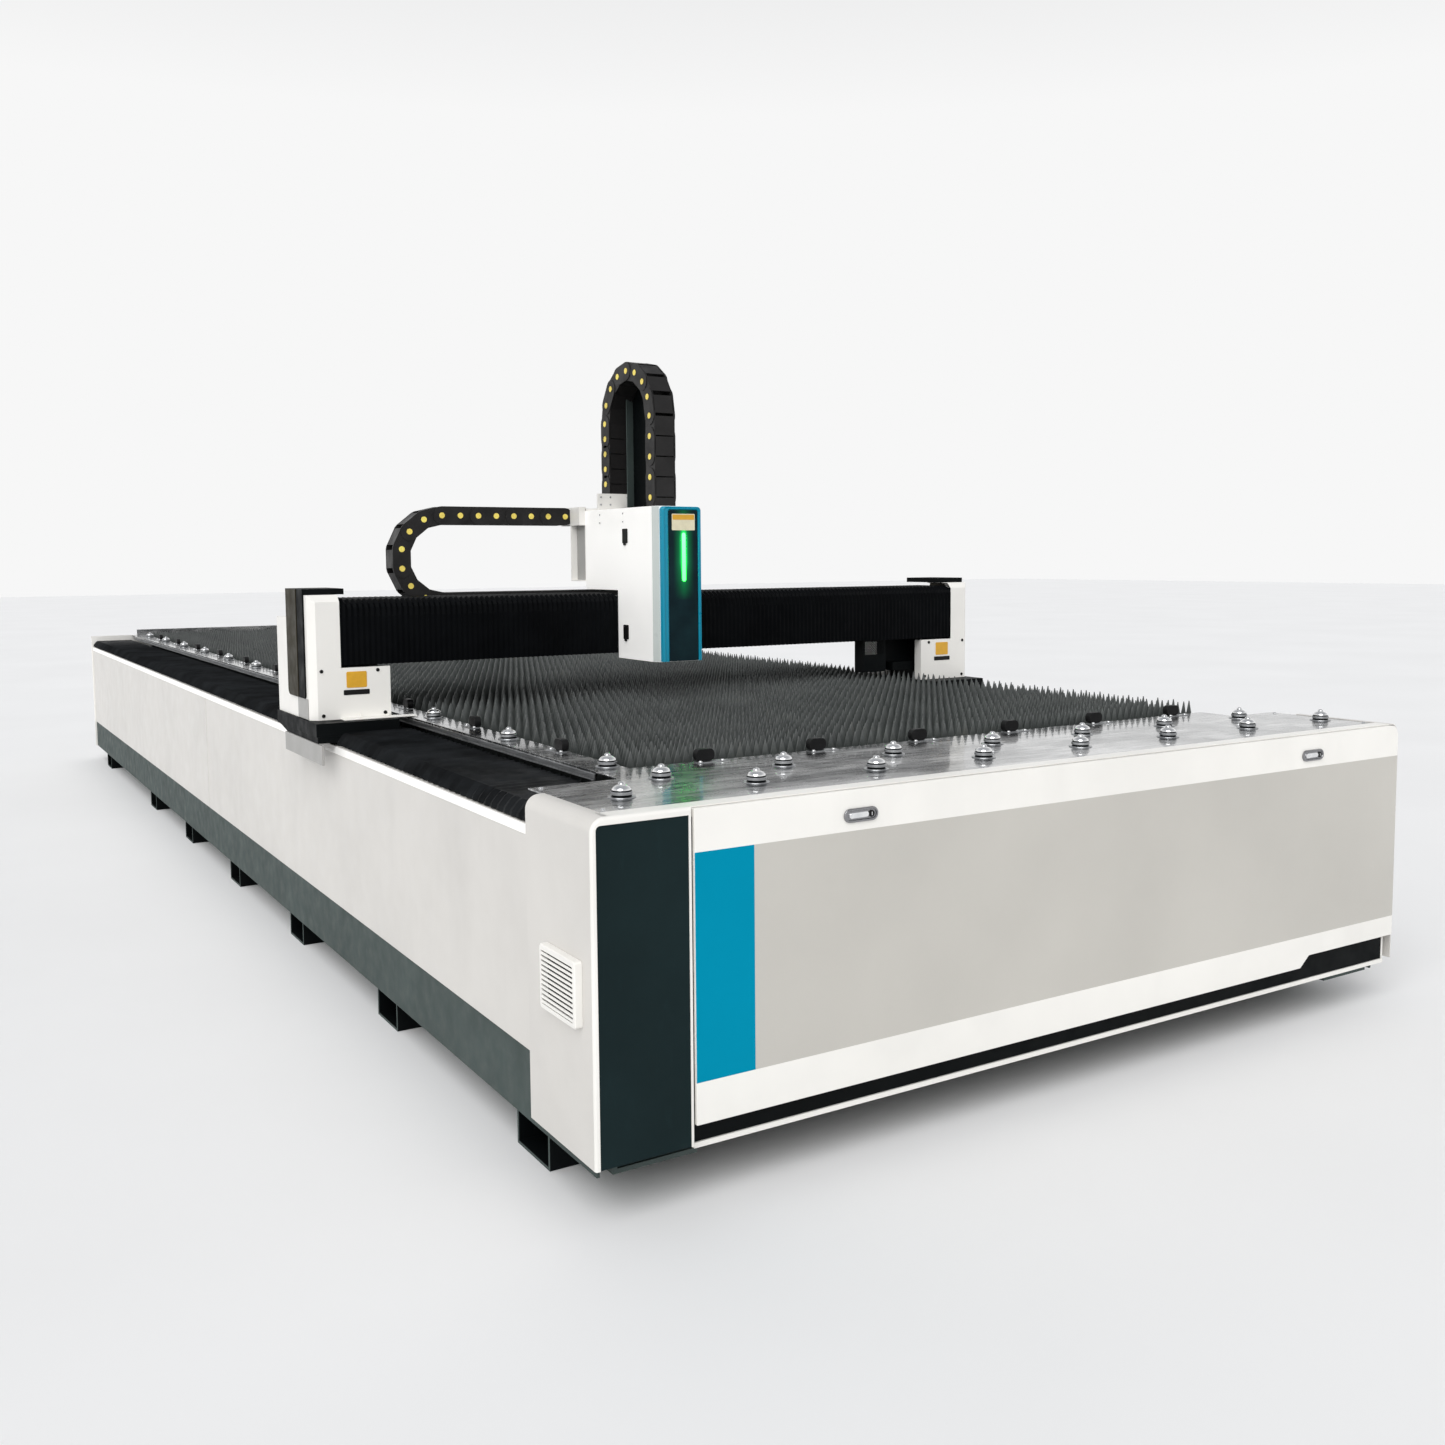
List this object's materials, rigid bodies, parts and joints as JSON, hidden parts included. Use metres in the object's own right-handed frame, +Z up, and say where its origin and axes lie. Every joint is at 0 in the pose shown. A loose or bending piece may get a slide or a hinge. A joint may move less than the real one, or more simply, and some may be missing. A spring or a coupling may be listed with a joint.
{
  "type": "gantry sheet cutting machine",
  "caption": "Open-bed gantry machine that cuts sheet metal: slat table on a long welded bed, moving gantry, cross carriage and lifting cutting head.",
  "frame": {"origin": "on the floor, at the middle of the footprint", "axes": "+X to the right seen from the front door, +Y from the front door to the rear along the bed, +Z up"},
  "size_m": [3.016, 8.7, 2.251],
  "materials": {
    "white_paint": "semi-gloss powder coat, warm white",
    "door_grey": "semi-gloss paint, warm light grey with white bands and a blue field",
    "dark_paint": "satin dark blue-black paint",
    "frame_paint": "satin grey-green structural paint",
    "black_paint": "matt black paint",
    "bellows": "matt coated fabric, pleated",
    "chain_plastic": "moulded nylon links with yellow pins",
    "slat_steel": "dark mill steel, cut teeth",
    "bright_plate": "reflective sheet",
    "machined_steel": "ground steel",
    "chrome": "polished",
    "teal_trim": "gloss blue paint",
    "window_glass": "dark green laser-safe window"
  },
  "bodies": {
    "bed": {"foot_tube_1": "black_paint", "foot_tube_2": "black_paint", "foot_tube_3": "black_paint", "foot_tube_4": "black_paint", "foot_tube_5": "black_paint", "foot_tube_6": "black_paint", "foot_tube_7": "black_paint", "bed_frame_left": "frame_paint", "bed_frame_right": "frame_paint", "side_panel_left": "white_paint", "side_panel_right": "white_paint", "front_cheek_left": "white_paint", "front_cheek_right": "white_paint", "side_strip_left": "bright_plate", "y_rail_left": "machined_steel", "y_rail_right": "machined_steel", "bellows_front_left": "bellows", "bellows_front_right": "bellows", "bellows_rear_left": "bellows", "bellows_rear_right": "bellows", "front_top_frame": "white_paint", "front_corner_panel": "dark_paint", "front_plinth": "black_paint", "rear_panel": "white_paint", "vent_left": "white_paint", "end_plate_front": "bright_plate", "end_plate_rear": "bright_plate", "slat_table_1": "slat_steel", "slat_table_2": "slat_steel"},
    "door": {"front_door": "door_grey"},
    "latch_left": {"front_latch_left": "chrome"},
    "latch_right": {"front_latch_right": "chrome"},
    "gantry": {"gantry_beam": "dark_paint", "x_rail": "machined_steel", "beam_bellows_left": "bellows", "beam_bellows_right": "bellows", "x_chain_lower": "chain_plastic", "gantry_foot_left": "black_paint", "gantry_foot_right": "black_paint", "gantry_cover_left": "white_paint", "gantry_cover_right": "white_paint", "gantry_cap_left": "dark_paint", "gantry_cap_right": "dark_paint", "motor_cover_left": "white_paint", "motor_cover_right": "white_paint", "y_motor_left": "black_paint", "y_motor_right": "black_paint"},
    "pinion_left": {"y_pinion_left": "machined_steel"},
    "pinion_right": {"y_pinion_right": "machined_steel"},
    "chain_bend": {"x_chain_bend": "chain_plastic"},
    "carriage": {"carriage_plate": "machined_steel", "head_cover": "white_paint", "head_trim": "teal_trim", "head_window": "window_glass", "chain_bracket": "white_paint", "x_chain_upper": "chain_plastic", "z_chain": "chain_plastic"},
    "lift": {"z_slide": "bright_plate", "cutting_head": "chrome"}
  },
  "joints": [
    {"name": "door_drop", "type": "hinge", "parent": "bed", "child": "door", "pos_m": [0.118, -4.341, 0.192], "axis": [1, 0, 0], "range_deg": [0, 85]},
    {"name": "latch_left_turn", "type": "hinge", "parent": "door", "child": "latch_left", "pos_m": [-0.748, -4.344, 0.864], "axis": [0, 1, 0], "range_deg": [0, 90]},
    {"name": "latch_right_turn", "type": "hinge", "parent": "door", "child": "latch_right", "pos_m": [1.002, -4.344, 0.864], "axis": [0, 1, 0], "range_deg": [0, 90]},
    {"name": "gantry_slide", "type": "slide", "parent": "bed", "child": "gantry", "axis": [0, 1, 0], "range_m": [-1.25, 4.55], "deforming": ["bellows_front_left", "bellows_front_right", "bellows_rear_left", "bellows_rear_right"]},
    {"name": "carriage_slide", "type": "slide", "parent": "gantry", "child": "carriage", "axis": [1, 0, 0], "range_m": [-0.82, 1.21], "deforming": ["beam_bellows_left", "beam_bellows_right", "x_chain_upper", "x_chain_lower"]},
    {"name": "chain_bend_slide", "type": "slide", "parent": "gantry", "child": "chain_bend", "axis": [1, 0, 0], "range_m": [-0.41, 0.605]},
    {"name": "head_lift", "type": "slide", "parent": "carriage", "child": "lift", "axis": [0, 0, 1], "range_m": [-0.128, 0], "deforming": ["z_chain"]},
    {"name": "pinion_left_spin", "type": "hinge", "parent": "gantry", "child": "pinion_left", "pos_m": [-1.29, -1.804, 0.8], "axis": [0, 0, 1], "range_deg": [-9000, 9000]},
    {"name": "pinion_right_spin", "type": "hinge", "parent": "gantry", "child": "pinion_right", "pos_m": [1.29, -1.804, 0.8], "axis": [0, 0, 1], "range_deg": [-9000, 9000]}
  ],
  "couplings": [
    {"joint": "chain_bend_slide", "follows": "carriage_slide", "ratio": 0.5},
    {"joint": "pinion_left_spin", "follows": "gantry_slide", "rad_per_m": -32.258},
    {"joint": "pinion_right_spin", "follows": "gantry_slide", "rad_per_m": 32.258}
  ]
}
